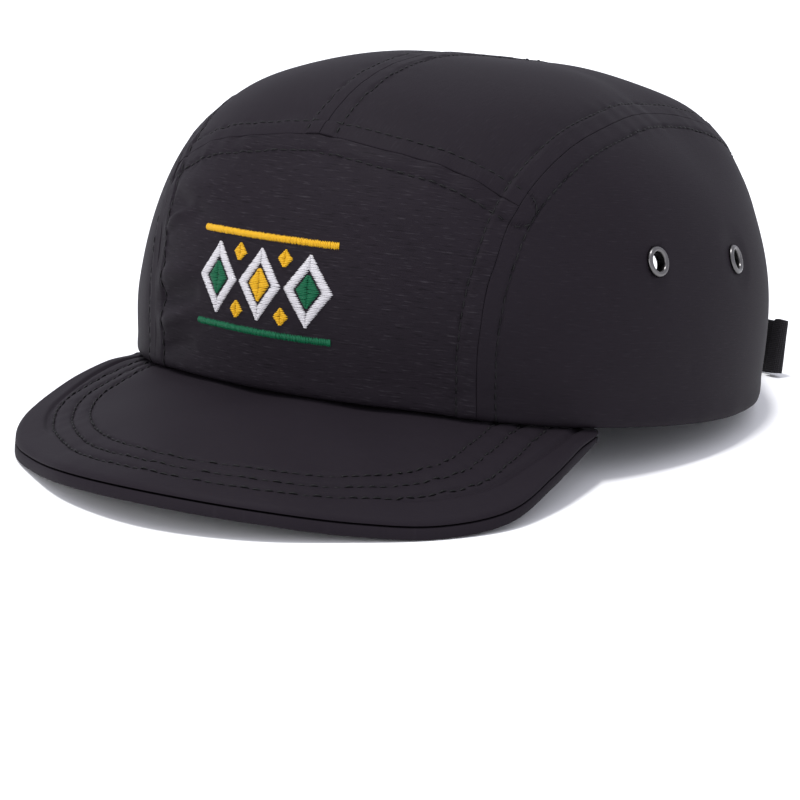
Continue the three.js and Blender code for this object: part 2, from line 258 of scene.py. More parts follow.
def nearest(points, line):
    """For each point: its distance to a polyline, the nearest place on it, and that place's
    share of the way along, by the nearest corner and then the two spans beside it."""
    flat = points.reshape(-1, 3)
    apart = (flat**2).sum(1)[:, None] + (line**2).sum(1)[None] - 2 * flat @ line.T
    corner = apart.argmin(1)
    best = np.full(len(flat), np.inf)
    foot = np.zeros_like(flat)
    share = np.zeros(len(flat))
    for step in (-1, 0):
        k = np.clip(corner + step, 0, len(line) - 2)
        way = line[k + 1] - line[k]
        t = np.clip(((flat - line[k]) * way).sum(1) / np.maximum((way**2).sum(1), 1e-12), 0, 1)
        place = line[k] + way * t[:, None]
        far = np.linalg.norm(flat - place, axis=1)
        closer = far < best
        best = np.where(closer, far, best)
        foot[closer] = place[closer]
        share = np.where(closer, (k + t) / (len(line) - 1), share)
    shape = points.shape[:-1]
    return best.reshape(shape), foot.reshape(points.shape), share.reshape(shape)


def ripple(points, wavelength, seed):
    """Smooth unevenness of about unit size: the sum of eight sine waves with set directions."""
    dice = np.random.default_rng(seed)
    ways = unit(dice.normal(size=(8, 3)))
    ways = ways * 2 * math.pi / wavelength * dice.uniform(0.7, 1.3, (8, 1))
    starts = dice.uniform(0, 2 * math.pi, 8)
    return np.sin(points @ ways.T + starts).sum(-1) / 2


def smooth_step(value):
    """0 below 0, 1 above 1, and a smooth rise between."""
    value = np.clip(value, 0, 1)
    return value * value * (3 - 2 * value)


def bell(gap, width):
    """1 at no distance, fading on both sides as a bell curve of this width."""
    return np.exp(-(gap / width) ** 2)


def roll_off(gap, radius):
    """How far a rounded edge falls away at a distance from its end: a quarter circle."""
    return radius - np.sqrt(np.maximum(radius**2 - np.clip(radius - gap, 0, radius) ** 2, 0))


def normals(grid):
    """The way out of a surface at each point of its grid."""
    return unit(np.cross(np.gradient(grid, axis=0), np.gradient(grid, axis=1)))


seam_roll, hem_roll = 0.25, 2.3
stitch_inset, crest_inset = 4.9, 4.1
allowance_rise, groove_depth, hem_rise = 0.36, 0.42, 0.25
hole_margin, least_wall, seam_ease = 0.25, 0.5, 0.05


def seam_relief(gap, foot, inset, pucker):
    """Height of the cloth beside a seam: the turned-in edge is a low step up to the stitches,
    which pull a groove and short puckers square to the seam, and the edge itself rolls in."""
    step = allowance_rise * smooth_step((inset + 0.9 - gap) / 1.3)
    groove = groove_depth * bell(gap - inset, 0.45)
    pull = 1 + 0.5 * ripple(foot, 5.5, 11)
    puckers = pucker * ripple(foot, 8.0, 12) * bell(gap, 6.5)
    dimple = 0.9 * pucker * ripple(foot, 4.2, 13) * bell(gap - inset, 1.6)
    return step - groove * pull + puckers + dimple - roll_off(gap, seam_roll)


def hem_relief(gap, foot):
    """Height of the cloth at the rim or the opening: the folded edge is a little fuller and
    rolls under."""
    full = hem_rise * smooth_step((7.0 - gap) / 4.0) * (1 + 0.25 * ripple(foot, 16.0, 14))
    return full - roll_off(gap, hem_roll)


def fold_relief(points, folds):
    """Height of a panel's soft folds. Each runs between two places, given by turn and height,
    as a ridge with a bell-shaped section that fades out at both ends."""
    height = np.zeros(points.shape[:-1])
    for turn_a, height_a, turn_b, height_b, width, rise in folds:
        share = np.linspace(0, 1, 15)
        turns = np.radians(turn_a + (turn_b - turn_a) * share)
        line = crown(towards(turns, height_a + (height_b - height_a) * share))
        gap, _, along = nearest(points, line)
        height += rise * bell(gap, width) * np.sin(math.pi * np.clip(along, 0, 1)) ** 0.7
    return height


def soft_relief(points, folds, unevenness):
    """Height of a panel's folds and of the slow unevenness between them."""
    return fold_relief(points, folds) + unevenness * ripple(points, 46.0, 15)


def graded(length, fine, coarse, margin=8.0):
    """Shares along a panel of this length: closest together over its rolled ends, fine over the
    margins that are stitched, and coarse between."""
    lip = np.array([0, 0.06, 0.2, 0.42, 0.72, 1.05, 1.4])
    edge = np.concatenate([lip, np.arange(1.4 + fine, margin, fine)])
    middle = np.linspace(margin, length - margin, max(int((length - 2 * margin) / coarse), 2))
    return np.concatenate([edge, middle, length - edge[::-1]]) / length


def quads_over(corner):
    """The faces over a grid of corner numbers."""
    quads = [corner[:-1, :-1], corner[1:, :-1], corner[1:, 1:], corner[:-1, 1:]]
    return np.stack(quads, -1).reshape(-1, 4)


def made_piece(name, points, faces, uv=None, turn_out=False):
    """A smooth piece from points and faces, with the points' places on the cloth as its cloth
    map, and its faces turned outwards where asked."""
    mesh = bpy.data.meshes.new(name)
    mesh.from_pydata(placed(points.reshape(-1, 3)).tolist(), [], faces)
    if uv is not None:
        corners = np.zeros(len(mesh.loops), np.int32)
        mesh.loops.foreach_get("vertex_index", corners)
        cloth_map = mesh.uv_layers.new(name="cloth")
        cloth_map.data.foreach_set("uv", uv.astype(np.float32)[corners].ravel())
    mesh.polygons.foreach_set("use_smooth", np.ones(len(faces), bool))
    mesh.update()
    if turn_out:
        body = bmesh.new()
        body.from_mesh(mesh)
        bmesh.ops.recalc_face_normals(body, faces=body.faces)
        body.to_mesh(mesh)
        body.free()
    piece = bpy.data.objects.new(name, mesh)
    scene.collection.objects.link(piece)
    return piece


def shell(name, outer, inner, uv, flip=False, holes=()):
    """A closed sheet of cloth from two facing grids, the walls round its border, and a wall
    round each hole, which is cut where the grid lies within its radius and drawn to a circle."""
    rows, columns = outer.shape[:2]
    count = rows * columns
    points = np.concatenate([outer.reshape(-1, 3), inner.reshape(-1, 3)])
    corner = np.arange(count).reshape(rows, columns)
    quads = quads_over(corner)
    walls = []
    for centre, axis, radius in holes:
        across = points[:count] - centre
        across -= (across @ axis)[:, None] * axis
        inside = np.linalg.norm(across[quads].mean(1), axis=1) < radius + hole_margin
        cut = quads[inside]
        quads = quads[~inside]
        steps = np.stack([cut, np.roll(cut, -1, 1)], -1).reshape(-1, 2)
        code = steps[:, 0] * count + steps[:, 1]
        border = steps[~np.isin(code, steps[:, 1] * count + steps[:, 0])]
        walls.append(np.column_stack([border, border[:, ::-1] + count]))
        lip = np.unique(border)
        move = unit(across[lip]) * radius - across[lip]
        points[lip] += move
        points[lip + count] += move
    ring = np.concatenate([corner[:, 0], corner[-1, 1:], corner[-2::-1, -1], corner[0, -2:0:-1]])
    after = np.roll(ring, -1)
    walls.append(np.column_stack([ring, ring + count, after + count, after]))
    faces = np.concatenate([quads, quads[:, ::-1] + count, *walls])
    if flip:
        faces = faces[:, ::-1]
    return made_piece(name, points, faces.tolist(), np.concatenate([uv, uv]))


def spread(points):
    """Lengths over a grid of points: along each row from its middle, and up each column."""
    along = np.linalg.norm(np.diff(points, axis=0), axis=-1).cumsum(0)
    along = np.concatenate([np.zeros((1, points.shape[1])), along])
    up = np.linalg.norm(np.diff(points, axis=1), axis=-1).cumsum(1)
    up = np.concatenate([np.zeros((points.shape[0], 1)), up], 1)
    return np.stack([along - along[-1:] / 2, up], -1).reshape(-1, 2)


def row_inside(gap, surface, inset):
    """The line where the distance from an edge reaches an inset: on each column, the place
    between the last grid point short of it and the first one past it."""
    past = gap >= inset
    reached = past.any(0)
    k = np.argmax(past, 0).clip(1)
    column = np.arange(gap.shape[1])
    before, behind = gap[k - 1, column], gap[k, column]
    t = np.clip((inset - before) / np.maximum(behind - before, 1e-9), 0, 1)[:, None]
    return (surface[k - 1, column] * (1 - t) + surface[k, column] * t)[reached]


crown_rows = []


def crown_panel(name, patch, size, insets, folds, unevenness, pucker, flip=False, holes=()):
    """Cuts one crown panel. insets gives for the low, high, start and end edge how far in its
    stitches run, or 0 where it is a hem. The outer face is the crown's with its relief, and the
    inner face follows it. A hem has a stitch row too, but the rim at the low edge has none."""
    ways = patch(graded(size[0], 0.75, 1.25), graded(size[1], 0.75, 1.25))
    base = crown(ways)
    out = normals(base)
    if flip:
        out = -out
    calm = np.ones(base.shape[:-1])
    relief = np.zeros(base.shape[:-1])
    gaps = []
    for border, inset in zip((base[:, 0], base[:, -1], base[0], base[-1]), insets):
        gap, foot, _ = nearest(base, border)
        gaps.append(gap)
        relief += seam_relief(gap, foot, inset, pucker) if inset else hem_relief(gap, foot)
        calm *= smooth_step(gap / (9.0 if inset else 3.0))
    for centre, _, _ in holes:
        calm *= smooth_step(np.linalg.norm(base - centre, axis=-1) / 8.0 - 0.4)
    soft = soft_relief(base, folds, unevenness) * calm
    face = base + out * (relief + soft)[..., None]
    inner = base + out * np.minimum(soft - cloth_wall, relief + soft - least_wall)[..., None]
    for border, beside in (
        (face[0], face[3]), (face[-1], face[-4]),
        (face[:, 0], face[:, 3]), (face[:, -1], face[:, -4]),
    ):
        border += seam_ease * unit(beside - border)
    surface = np.concatenate([face, out], -1)
    for edge, (gap, inset) in enumerate(zip(gaps, insets)):
        skin = surface
        if edge < 2:
            gap, skin = gap.T, np.moveaxis(skin, 1, 0)
        step = -1 if edge % 2 else 1
        if edge or inset:
            crown_rows.append(row_inside(gap[::step], skin[::step], inset or stitch_inset))
    return shell(name, face, inner, spread(base), flip, holes)


front_unevenness = 0.22
front_folds = [
    (-119.0, 33.5, -108.0, 43.5, 1.5, 1.2),
    (-118.0, 46.5, -102.0, 48.5, 3.0, 1.0),
    (-116.0, 43.5, -102.0, 38.5, 2.4, -1.1),
    (-119.0, 22.0, -105.0, 27.5, 2.3, 1.5),
    (-118.0, 17.0, -105.0, 21.5, 2.2, -1.4),
    (-119.0, 10.5, -105.0, 16.5, 2.0, 1.4),
    (-118.0, 4.5, -106.0, 8.5, 2.2, -1.0),
    (-88.0, 50.0, -66.0, 44.0, 4.0, 0.3),
]
front_patch = between(rim_front, brow_whole, mirrored(side_front), side_front)
front_cloth = crown_panel(
    "front_cloth", front_patch, (128.0, 66.0),
    (0, stitch_inset, stitch_inset, stitch_inset), front_folds, front_unevenness, 0.15)


def new_material(name, colour, roughness):
    """A material with one shader, its plain colour and roughness set on its sockets."""
    material = bpy.data.materials.new(name)
    material.use_nodes = True
    shader = material.node_tree.nodes["Principled BSDF"]
    shader.inputs["Base Color"].default_value = (*colour, 1.0)
    shader.inputs["Roughness"].default_value = roughness
    return material, material.node_tree, shader


def add_node(tree, kind, **values):
    """A node with its named inputs set, or its settings where it has no such input."""
    made = tree.nodes.new(kind)
    for key, value in values.items():
        socket = made.inputs.get(key.replace("_", " "))
        if socket is not None:
            socket.default_value = value
        else:
            setattr(made, key, value)
    return made


def noise(tree, scale, detail, lay=None, roughness=0.5):
    """A noise pattern over the piece's own metres or, where lay says how often it changes along
    and up the cloth, over its cloth map in millimetres."""
    made = add_node(tree, "ShaderNodeTexNoise", Scale=scale, Detail=detail, Roughness=roughness)
    if lay is None:
        place = add_node(tree, "ShaderNodeTexCoord").outputs["Object"]
    else:
        mapping = add_node(tree, "ShaderNodeMapping", Scale=(*lay, 1.0))
        cloth_map = add_node(tree, "ShaderNodeUVMap", uv_map="cloth")
        tree.links.new(cloth_map.outputs[0], mapping.inputs[0])
        place = mapping.outputs[0]
    tree.links.new(place, made.inputs["Vector"])
    return made.outputs[0]


def ranged(tree, pattern, **limits):
    """A pattern stretched to new limits, which it doesn't pass."""
    made = add_node(tree, "ShaderNodeMapRange", **limits)
    tree.links.new(pattern, made.inputs[0])
    return made.outputs[0]


def mixed(tree, pattern, low, high):
    """A blend by a pattern of two colours, each a plain one or another node's output."""
    made = add_node(tree, "ShaderNodeMix", data_type="RGBA")
    tree.links.new(pattern, made.inputs[0])
    for socket, colour in ((made.inputs[6], low), (made.inputs[7], high)):
        if isinstance(colour, tuple):
            socket.default_value = (*colour, 1.0)
        else:
            tree.links.new(colour, socket)
    return made.outputs[2]


def raised(tree, node, pattern, strength, depth):
    """A bump by a pattern, under a shader or another bump; its depth is in metres."""
    made = add_node(tree, "ShaderNodeBump", Strength=strength, Distance=depth)
    tree.links.new(pattern, made.inputs["Height"])
    tree.links.new(made.outputs[0], node.inputs["Normal"])
    return made


def nylon(name, slubs):
    """Thin dull nylon in a cloudy warm black. Thicker yarns show as short level dashes, lighter
    or darker than the cloth, as strong as slubs says."""
    material, tree, shader = new_material(name, (0.011, 0.009, 0.0115), 0.62)
    shader.inputs["Specular IOR Level"].default_value = 0.05
    slub = noise(tree, 1.0, 2.0, (0.24, 2.6), 0.55)
    light = ranged(tree, slub, From_Min=0.6, From_Max=0.72, To_Max=0.85 * slubs)
    dark = ranged(tree, slub, From_Min=0.42, From_Max=0.3, To_Max=0.75 * slubs)
    cloud = mixed(
        tree, noise(tree, 38.0, 3.0), (0.0118, 0.0092, 0.0122), (0.0146, 0.0117, 0.0154))
    lighter = mixed(tree, light, cloud, (0.036, 0.032, 0.037))
    darker = mixed(tree, dark, lighter, (0.0035, 0.003, 0.0037))
    tree.links.new(darker, shader.inputs["Base Color"])
    slub_bump = raised(tree, shader, slub, 0.2 + 0.4 * slubs, 0.00012)
    raised(tree, slub_bump, noise(tree, 1.0, 2.0, (2.6, 5.2), 0.7), 0.3, 0.00008)
    return material


front_cloth.data.materials.append(nylon("slubbed_nylon", 0.75))
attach(front_cloth, "root")
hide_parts("front_panel")

# Side panels
# A panel of the same nylon over each ear, from the front panel back to the opening. Each has
# two metal eyelets set in holes above the ear.

eyelet_turns = (-29.5, 0.5)
eyelet_height = 40.0
eyelet_hole = 3.15
side_top = portion(side_seam, junction, 1)
rim_side = portion(rim, seam_turn, opening_turn)
arch_side = portion(arch, 0, opening_share)


def eyelet_places(side):
    """Where the eyelets of one side sit on the crown, and the way out of it there, from small
    steps round and up the crown."""
    turns = np.radians(np.array(eyelet_turns))
    step = 0.01
    heights = np.full(2, eyelet_height)
    centre = crown(towards(turns, heights))
    round_step = crown(towards(turns + step, heights)) - crown(towards(turns - step, heights))
    rise_step = crown(towards(turns, heights + 1)) - crown(towards(turns, heights - 1))
    flip = np.array([side, 1.0, 1.0])
    return centre * flip, unit(np.cross(round_step, rise_step)) * flip


side_patch = between(rim_side, side_top, side_front, arch_side)
side_folds = {
    1: [(-52.0, 12.0, -20.0, 16.0, 7.0, 0.35), (40.0, 60.0, 52.0, 20.0, 7.0, 0.5)],
    -1: [(232.0, 14.0, 205.0, 20.0, 7.0, 0.4), (142.0, 62.0, 128.0, 22.0, 8.0, 0.5)],
}
plain_nylon = nylon("plain_nylon", 0.25)
for side, word in ((1, "left"), (-1, "right")):
    patch = side_patch if side > 0 else mirrored(side_patch)
    holes = [(centre, axis, eyelet_hole) for centre, axis in zip(*eyelet_places(side))]
    side_cloth = crown_panel(
        f"side_cloth_{word}", patch, (222.0, 84.0), (0, stitch_inset, stitch_inset, 0),
        side_folds[side], 0.3, 0.05, side < 0, holes)
    side_cloth.data.materials.append(plain_nylon)
    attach(side_cloth, "root")
    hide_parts(f"side_panel_{word}")

# Top panels
# Two panels meet along the middle of the crown, from the forehead seam back to the opening.

arch_top = portion(arch, opening_share, 1)
crest_start = math.asin(float(brow_half(np.array([1.0]))[0, 2]))
crest_end = math.pi - math.asin(float(arch_top(np.array([1.0]))[0, 2]))


def crest(share):
    """Middle seam from the forehead back to the opening: an even turn upright through y and z."""
    angle = crest_start + (crest_end - crest_start) * share
    return np.stack([np.zeros_like(angle), -np.cos(angle), np.sin(angle)], -1)


top_patch = between(side_top, crest, brow_half, arch_top)
top_folds = {
    1: [(-60.0, 70.0, 0.0, 84.0, 8.0, 0.35), (30.0, 84.0, 70.0, 70.0, 8.0, 0.4)],
    -1: [(236.0, 72.0, 190.0, 84.0, 8.0, 0.4), (150.0, 84.0, 112.0, 70.0, 8.0, 0.4)],
}
for side, word in ((1, "left"), (-1, "right")):
    top_cloth = crown_panel(
        f"top_cloth_{word}", top_patch if side > 0 else mirrored(top_patch), (150.0, 62.0),
        (stitch_inset, crest_inset, stitch_inset, 0), top_folds[side], 0.3, 0.07, side < 0)
    top_cloth.data.materials.append(plain_nylon)
    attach(top_cloth, "root")
    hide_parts(f"top_panel_{word}")

# Crown stitching
# Rows of black polyester lockstitch hold the turned-in edges down, one each side of a seam.

stitch_pitch, stitch_length, stitch_radius = 2.7, 2.4, 0.23
stitch_lift, stitch_sink, thread_tip = 0.22, 0.12, 0.12


def reach(line):
    """How far along a line each of its points is."""
    return np.concatenate([[0], np.linalg.norm(np.diff(line[:, :3], axis=0), axis=1).cumsum()])


def places_at(at, far, line):
    """Places at these lengths along a line whose points lie at the lengths far."""
    return np.stack([np.interp(at, far, column) for column in line.T], -1)


def heading(at, far, line, step):
    """The way along a line at these lengths, from the places a step before and after."""
    return unit(places_at(at + step, far, line) - places_at(at - step, far, line))


def stitch_places(rows, pitch):
    """Evenly spaced places along rows of points and normals: the place, the way along the row
    and the way out of the cloth."""
    places, ways, outs = [], [], []
    for row in rows:
        row = row[np.concatenate([[True], np.diff(reach(row)) > 1e-6])]
        far = reach(row)
        at = np.arange(pitch, far[-1] - 0.5 * pitch, pitch)
        middle = places_at(at, far, row)
        places.append(middle[:, :3])
        outs.append(unit(middle[:, 3:]))
        ways.append(heading(at, far, row[:, :3], 0.8))
    return tuple(np.concatenate(part) for part in (places, ways, outs))


def thread_runs(name, places, ways, outs, lengths, radii, lift, sink, rings=5, sides=6):
    """Short runs of thread as one mesh. Each is a tube round a low arch: at a share t of the
    half length it stands lift times (1 - t^2) less the sink above the cloth, and its radius
    closes at both ends like a rounded cap."""
    share = np.linspace(-1, 1, rings)
    angle = np.linspace(0, 2 * math.pi, sides, endpoint=False)
    beside = unit(np.cross(outs, ways))
    above = unit(np.cross(ways, beside))
    lengths = np.broadcast_to(lengths, len(places))[:, None, None]
    radii = np.broadcast_to(radii, len(places))[:, None, None, None]
    height = (lift * (1 - share**2) - sink)[None, :, None]
    line = (places[:, None] + ways[:, None] * share[None, :, None] * lengths / 2
            + above[:, None] * height)
    thick = radii * ((1 - 0.75 * share**4)[None, :, None, None])
    ring = (beside[:, None, None] * np.cos(angle)[None, None, :, None]
            + above[:, None, None] * np.sin(angle)[None, None, :, None])
    tube = line[:, :, None] + ring * thick
    tips = line[:, [0, -1]] + ways[:, None] * np.array([-thread_tip, thread_tip])[None, :, None]
    points = np.concatenate([tube.reshape(len(places), -1, 3), tips], 1)
    each = points.shape[1]
    corner = np.arange(rings * sides).reshape(rings, sides)
    beyond = np.roll(corner, -1, 1)
    quads = quads_over(np.pad(corner, ((0, 0), (0, 1)), "wrap"))[:, [0, 3, 2, 1]]
    first = np.column_stack([beyond[0], corner[0], np.full(sides, each - 2)])
    last = np.column_stack([corner[-1], beyond[-1], np.full(sides, each - 1)])
    start = (np.arange(len(places)) * each)[:, None, None]
    faces = (quads[None] + start).reshape(-1, 4).tolist()
    faces += (np.concatenate([first, last])[None] + start).reshape(-1, 3).tolist()
    return made_piece(name, points, faces)


def thread_material(name, colour, roughness):
    """Twisted thread: fine noise in its colour and its bump."""
    material, tree, shader = new_material(name, colour, roughness)
    shader.inputs["Specular IOR Level"].default_value = 0.2
    twist = noise(tree, 4200.0, 2.0)
    dark, light = (tuple(min(share * part, 1.0) for part in colour) for share in (0.72, 1.25))
    tree.links.new(mixed(tree, twist, dark, light), shader.inputs["Base Color"])
    raised(tree, shader, twist, 0.5, 0.00006)
    return material


black_thread = thread_material("black_thread", (0.0042, 0.0038, 0.0045), 0.6)
crown_stitches = thread_runs(
    "crown_stitches", *stitch_places(crown_rows, stitch_pitch), stitch_length, stitch_radius,
    stitch_lift, stitch_sink)
crown_stitches.data.materials.append(black_thread)
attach(crown_stitches, "root")

# Eyelets
# Nickel-plated brass rings pressed through the side panels: a rolled flange outside, a short
# barrel through the cloth, and a flat washer inside.

eyelet_radius, eyelet_bore, eyelet_barrel = 3.95, 2.45, 2.8
flange_base, flange_rise = 0.18, 0.85
washer_base, washer_rise = -cloth_wall - 0.35, 0.6
barrel_low, barrel_high = -cloth_wall - 0.3, 0.12


def eyelet_profile():
    """Half section of a ring, as radius and height above the cloth: a half ellipse over the
    outer flange, the bore down through the cloth, and a thin rounded washer within."""
    over = np.linspace(0, math.pi, 13)
    middle, half = (eyelet_radius + eyelet_bore) / 2, (eyelet_radius - eyelet_bore) / 2
    dome = np.column_stack([
        middle + half * np.cos(over), flange_base + flange_rise * np.sin(over)])
    under = np.linspace(0, math.pi, 9)
    washer = np.column_stack([
        middle - half * np.cos(under), washer_base - washer_rise * np.sin(under)])
    barrel = np.array([(eyelet_barrel, barrel_low), (eyelet_barrel, barrel_high)])
    return np.concatenate([dome, washer, barrel])


def lathe(name, profile, centre, axis, steps):
    """A closed profile turned about an axis: each profile point goes round a circle."""
    angle = np.linspace(0, 2 * math.pi, steps, endpoint=False)
    across = unit(np.cross(axis, [0.0, 0.0, 1.0]))
    above = np.cross(axis, across)
    spoke = np.cos(angle)[:, None] * across + np.sin(angle)[:, None] * above
    points = centre + spoke[:, None] * profile[None, :, :1] + axis * profile[None, :, 1:]
    corner = np.arange(steps * len(profile)).reshape(steps, len(profile))
    faces = quads_over(np.pad(corner, (0, 1), "wrap")).tolist()
    return made_piece(name, points, faces, turn_out=True)


nickel, tree, shader = new_material("nickel", (0.135, 0.13, 0.13), 0.28)
shader.inputs["Metallic"].default_value = 1.0
wear = noise(tree, 900.0, 4.0)
tree.links.new(ranged(tree, wear, To_Min=0.2, To_Max=0.42), shader.inputs["Roughness"])
raised(tree, shader, wear, 0.25, 0.00004)
for side, word in ((1, "left"), (-1, "right")):
    for centre, axis, end in zip(*eyelet_places(side), ("front", "rear")):
        ring = lathe(f"eyelet_ring_{word}_{end}", eyelet_profile(), centre, axis, 48)
        ring.data.materials.append(nickel)
        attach(ring, "root")
        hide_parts(f"eyelet_{word}_{end}")

# Peak
# Two cut cloths over a springy stiffener, sewn together round the edge with a narrow lip and
# quilted by three rows of stitches that follow it. Both cloths start just inside the rim.

peak_centre, peak_reach, peak_drop, peak_length = 55.0, 101.8, 22.8, 76.0
peak_upper_wall, peak_under_wall, peak_fit = 2.3, 1.9, 0.3
peak_tuck, peak_root_back, peak_bend = 1.4, 57.5, 1.25
end_rise, root_rise, root_flat, root_inside = 0.9, 1.4, 0.02, 0.085
peak_outline = np.array([
    (0, 1.012, 0.915), (14, 0.984, 0.95), (28, 0.93, 1.01), (40, 0.903, 1), (52, 0.86, 0.86),
    (64, 0.776, 0.575), (76, 0.71, 0.345), (86, 0.68, 0.225),
])
quilt_insets = (10.5, 16.6, 23.2)
quilt_rise, quilt_groove = 0.2, 0.42
lip_inset, crease_depth, edge_lift = 5.0, 0.8, 1.2

outline_rows = np.vstack([peak_outline[:0:-1] * [-1, 1, 1], peak_outline])
bearing = np.radians(outline_rows[:, 0])
outline_points = np.column_stack([
    outline_rows[:, 1] * peak_reach * np.sin(bearing),
    -peak_centre - outline_rows[:, 1] * peak_reach * np.cos(bearing),
    -outline_rows[:, 2] * peak_drop,
])
edge_fine = through(outline_points, np.linspace(0, 1, 3000))
edge_far = reach(edge_fine)


def peak_edge(share):
    """The peak's outline at even lengths along its smooth curve."""
    return places_at(share * edge_far[-1], edge_far, edge_fine)


def peak_middle(u, v):
    """The face between the peak's two cloths: straight lines seen from above, from an oval just
    inside the rim out to the outline, which drop with the power of the way out. The root hangs
    with the rim and stands higher at the ends. Below v = 0 it runs on inwards and turns up a
    little inside the rim."""
    root_end = math.asin(-peak_root_back / rim_half_length)
    angle = -math.pi - root_end + (math.pi + 2 * root_end) * u
    edge = peak_edge(u)[:, None]
    rise = end_rise * smooth_step((np.abs(2 * u - 1) - 0.78) / 0.22)
    root_x = (rim_half_width - peak_tuck) * np.cos(angle)
    root_y = (rim_half_length - peak_tuck) * np.sin(angle)
    root_z = -peak_fit - peak_upper_wall - rim_hang(np.arctan2(root_y, root_x)) + rise
    root = np.column_stack([root_x, root_y, root_z])[:, None]
    out = np.maximum(v, 0)[None, :, None]
    points = root + (edge - root) * out
    inward = np.stack([np.cos(angle), np.sin(angle)], -1)[:, None]
    points[..., :2] += inward * np.minimum(v, 0)[None, :, None] * peak_length
    root_z = root_z[:, None]
    low = edge[..., 2] - rise[:, None] + peak_under_wall + peak_fit
    height = root_z + (low - root_z) * out[..., 0] ** peak_bend
    height = height + root_rise * smooth_step((-v[None] - root_flat) / (root_inside - root_flat))
    return np.concatenate([points[..., :2], height[..., None]], -1)


def peak_cloth(name, upper):
    """One of the peak's cloths on a grid from inside the rim to its outline. Stitch rows pull
    grooves, closer together at the front, and the cloth is fuller between them. Both cloths
    turn up at the edge to meet high on it, and a crease runs inside the edge at each side."""
    u = graded(232.0, 1.1, 1.15, 4.0)
    lip = np.array([0, 0.06, 0.2, 0.45, 0.8, 1.2, 1.6])
    stitched, plain = np.arange(2.1, 26.0, 0.55), np.arange(26.6, peak_length - 0.4, 1.5)
    out = np.concatenate([lip, stitched, plain, [peak_length]])
    v = np.concatenate([[-root_inside, -0.04], 1 - out[::-1] / peak_length])
    middle = peak_middle(u, v)
    gap, foot, _ = nearest(middle, middle[:, -1])
    ends, _, _ = nearest(middle, np.concatenate([middle[0], middle[-1]]))
    aside = np.abs(middle[..., 0])
    depth = gap / (0.7 + 0.3 * smooth_step((aside - 30) / 30))
    taper = 0.6 + 0.4 * smooth_step(ends / 14)
    puff = np.zeros(gap.shape)
    pull = 1 + 0.35 * ripple(foot, 5.0, 21)
    for low, high in zip((0.0, *quilt_insets), quilt_insets):
        puff += quilt_rise * np.sin(math.pi * np.clip((depth - low) / (high - low), 0, 1))
        puff -= quilt_groove * pull * bell(depth - high, 0.8)
    crease = lip_inset + 3.5 * smooth_step((-middle[..., 1] - 70) / 40)
    puff -= crease_depth * smooth_step((aside - 44) / 12) * bell(gap - crease, 0.85)
    puff += 0.12 * ripple(middle, 24.0, 22) * smooth_step(gap / 10)
    puff += 0.04 * ripple(foot, 6.5, 23) * bell(depth - 16, 9)
    lift = edge_lift * taper * smooth_step(1 - gap / 3.0)
    up = np.array([0.0, 0.0, 1.0])
    if upper:
        wall = peak_upper_wall * taper
        skin = wall + puff - (wall - edge_lift * taper - 0.2) * roll_off(gap, 1.6) / 1.6
        face = middle + up * skin[..., None]
        inner = middle + up * (0.12 + lift)[..., None]
    else:
        skin = peak_under_wall * taper + 0.7 * puff - 0.7 * roll_off(gap, 0.8)
        face = middle - up * (peak_fit + skin)[..., None]
        inner = middle - up * (peak_fit + 0.12 - lift)[..., None]
    surface = np.concatenate([face, normals(middle) * (-1 if upper else 1)], -1)
    depth, surface = depth.T[::-1], np.moveaxis(surface, 1, 0)[::-1]
    rows = [row_inside(depth, surface, inset) for inset in quilt_insets]
    return shell(name, face, inner, spread(middle), not upper), rows


peak_cloth_upper, upper_rows = peak_cloth("peak_cloth_upper", True)
peak_cloth_under, under_rows = peak_cloth("peak_cloth_under", False)
smooth_nylon = nylon("smooth_nylon", 0.1)
for cloth, node, resting in (
    (peak_cloth_upper, "peak_upper", "peak_cloth_under"), (peak_cloth_under, "peak_under", "floor")
):
    cloth.data.materials.append(smooth_nylon)
    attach(cloth, "root")
    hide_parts(node)

# Peak stitching
# The quilting rows run through the whole peak, so the same thread shows above and below.

peak_pitch, peak_stitch_length, peak_stitch_radius = 2.8, 2.1, 0.25
peak_stitch_lift, peak_stitch_sink = 0.24, -0.06
peak_stitches = thread_runs(
    "peak_stitches", *stitch_places(upper_rows + under_rows, peak_pitch), peak_stitch_length,
    peak_stitch_radius, peak_stitch_lift, peak_stitch_sink)
peak_stitches.data.materials.append(black_thread)
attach(peak_stitches, "root")

# Inside band
# A soft band of brushed cloth sewn inside the rim, from one side of the opening round the
# front to the other.

band_lift, band_height, band_wall, band_gap, band_puff = 0.8, 30.0, 1.0, 0.3, 0.18
anchor_length = 11.0
anchor_angle = anchor_length / float(rim_radius(opening_turn))
band_end = opening_turn - anchor_angle
band_turn = -math.pi - band_end + (math.pi + 2 * band_end) * np.linspace(0, 1, 260)
band_edge = np.array([0, 0.15, 0.4, 0.8, 1.3, 2.0, 3.0])
band_up = np.concatenate([band_edge, np.linspace(4, 26, 16), band_height - band_edge[::-1]])
band_base = crown(towards(*np.meshgrid(band_turn, band_lift + band_up, indexing="ij")))
band_out = normals(band_base)
band_low, band_foot, _ = nearest(band_base, band_base[:, 0])
band_high, _, _ = nearest(band_base, band_base[:, -1])
band_soft = band_puff * np.sin(math.pi * band_up / band_height) + 0.05 * ripple(band_foot, 9.0, 31)
for gap in (band_low, band_high):
    band_soft = band_soft - band_puff * bell(gap - 2.0, 0.6)
band_round = np.maximum(roll_off(band_low, 0.5), roll_off(band_high, 0.5))
band_depth = cloth_wall + band_gap
band_outer = band_base - band_out * (band_depth + band_round)[..., None]
band_inner = band_base - band_out * (band_depth + band_wall + band_soft - band_round)[..., None]
sweat_band = shell("sweat_band", band_outer, band_inner, spread(band_base))

